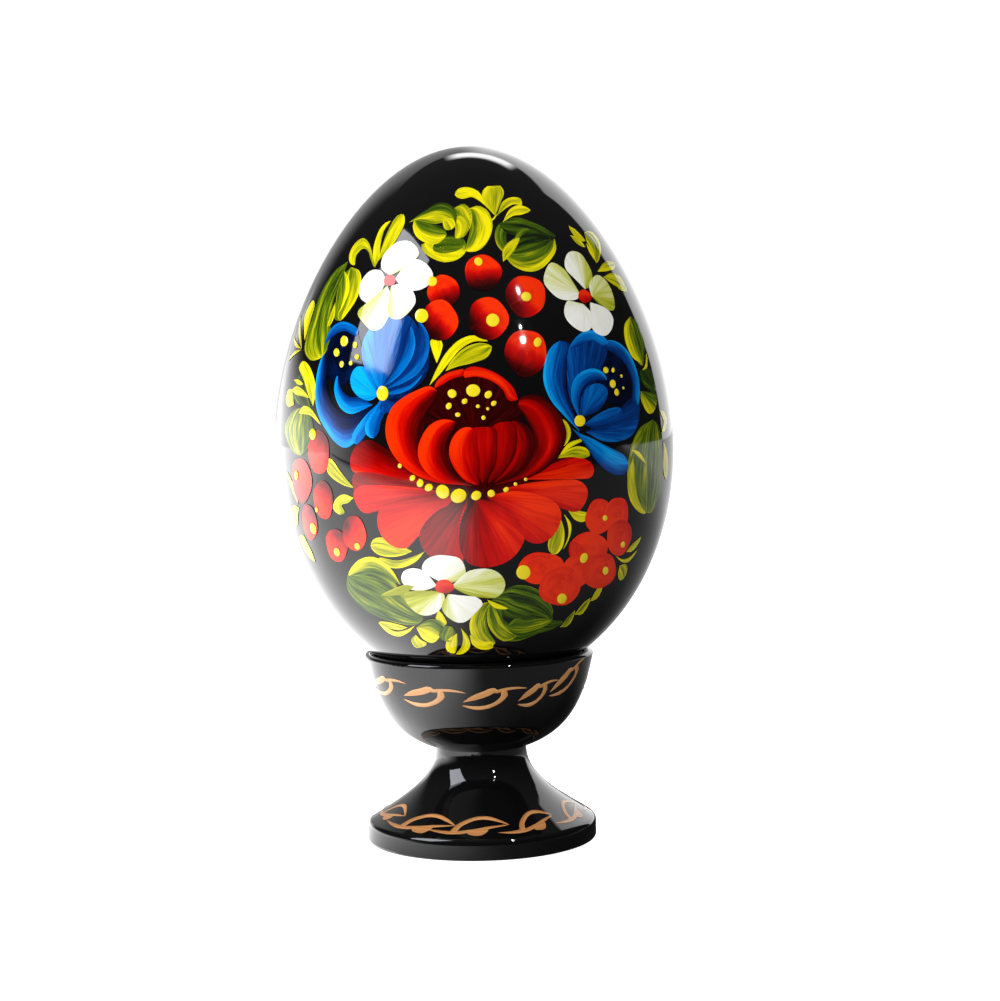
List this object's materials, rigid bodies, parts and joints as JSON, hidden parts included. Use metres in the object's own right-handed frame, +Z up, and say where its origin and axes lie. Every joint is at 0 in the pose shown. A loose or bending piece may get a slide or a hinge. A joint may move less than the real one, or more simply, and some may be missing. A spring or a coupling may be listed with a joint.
{
  "type": "painted wooden egg on a turned stand",
  "caption": "Lacquered wooden egg painted with a folk bouquet of flowers and berries, resting loose in the cup of a small turned stand with a flared foot.",
  "frame": {"origin": "centre of the foot's underside, on the surface that it stands on", "axes": "+Z up along the turning axis, -Y towards the front of the painted bouquet, +X to the viewer's right"},
  "size_m": [0.05, 0.05, 0.087],
  "materials": {
    "egg_lacquer": "black lacquer over turned wood, high gloss",
    "stand_lacquer": "black lacquer over turned wood, high gloss",
    "red_paint": "brushed paint from maroon to orange red, under clear gloss lacquer",
    "blue_paint": "brushed paint from navy to sky blue, under clear gloss lacquer",
    "white_paint": "brushed white paint with faint streaks, under clear gloss lacquer",
    "green_paint": "brushed paint from deep green to yellow green, under clear gloss lacquer",
    "yellow_paint": "raised dots and thin strokes of yellow paint, under clear gloss lacquer",
    "bronze_paint": "thin brushed bronze paint"
  },
  "bodies": {
    "stand": {"stand_cup": "stand_lacquer", "stand_foot": "stand_lacquer"},
    "egg": {"egg": "egg_lacquer"}
  },
  "joints": [
    {"name": "egg_lift", "type": "slide", "parent": "stand", "child": "egg", "axis": [0, 0, 1], "range_m": [0, 0.04]}
  ]
}
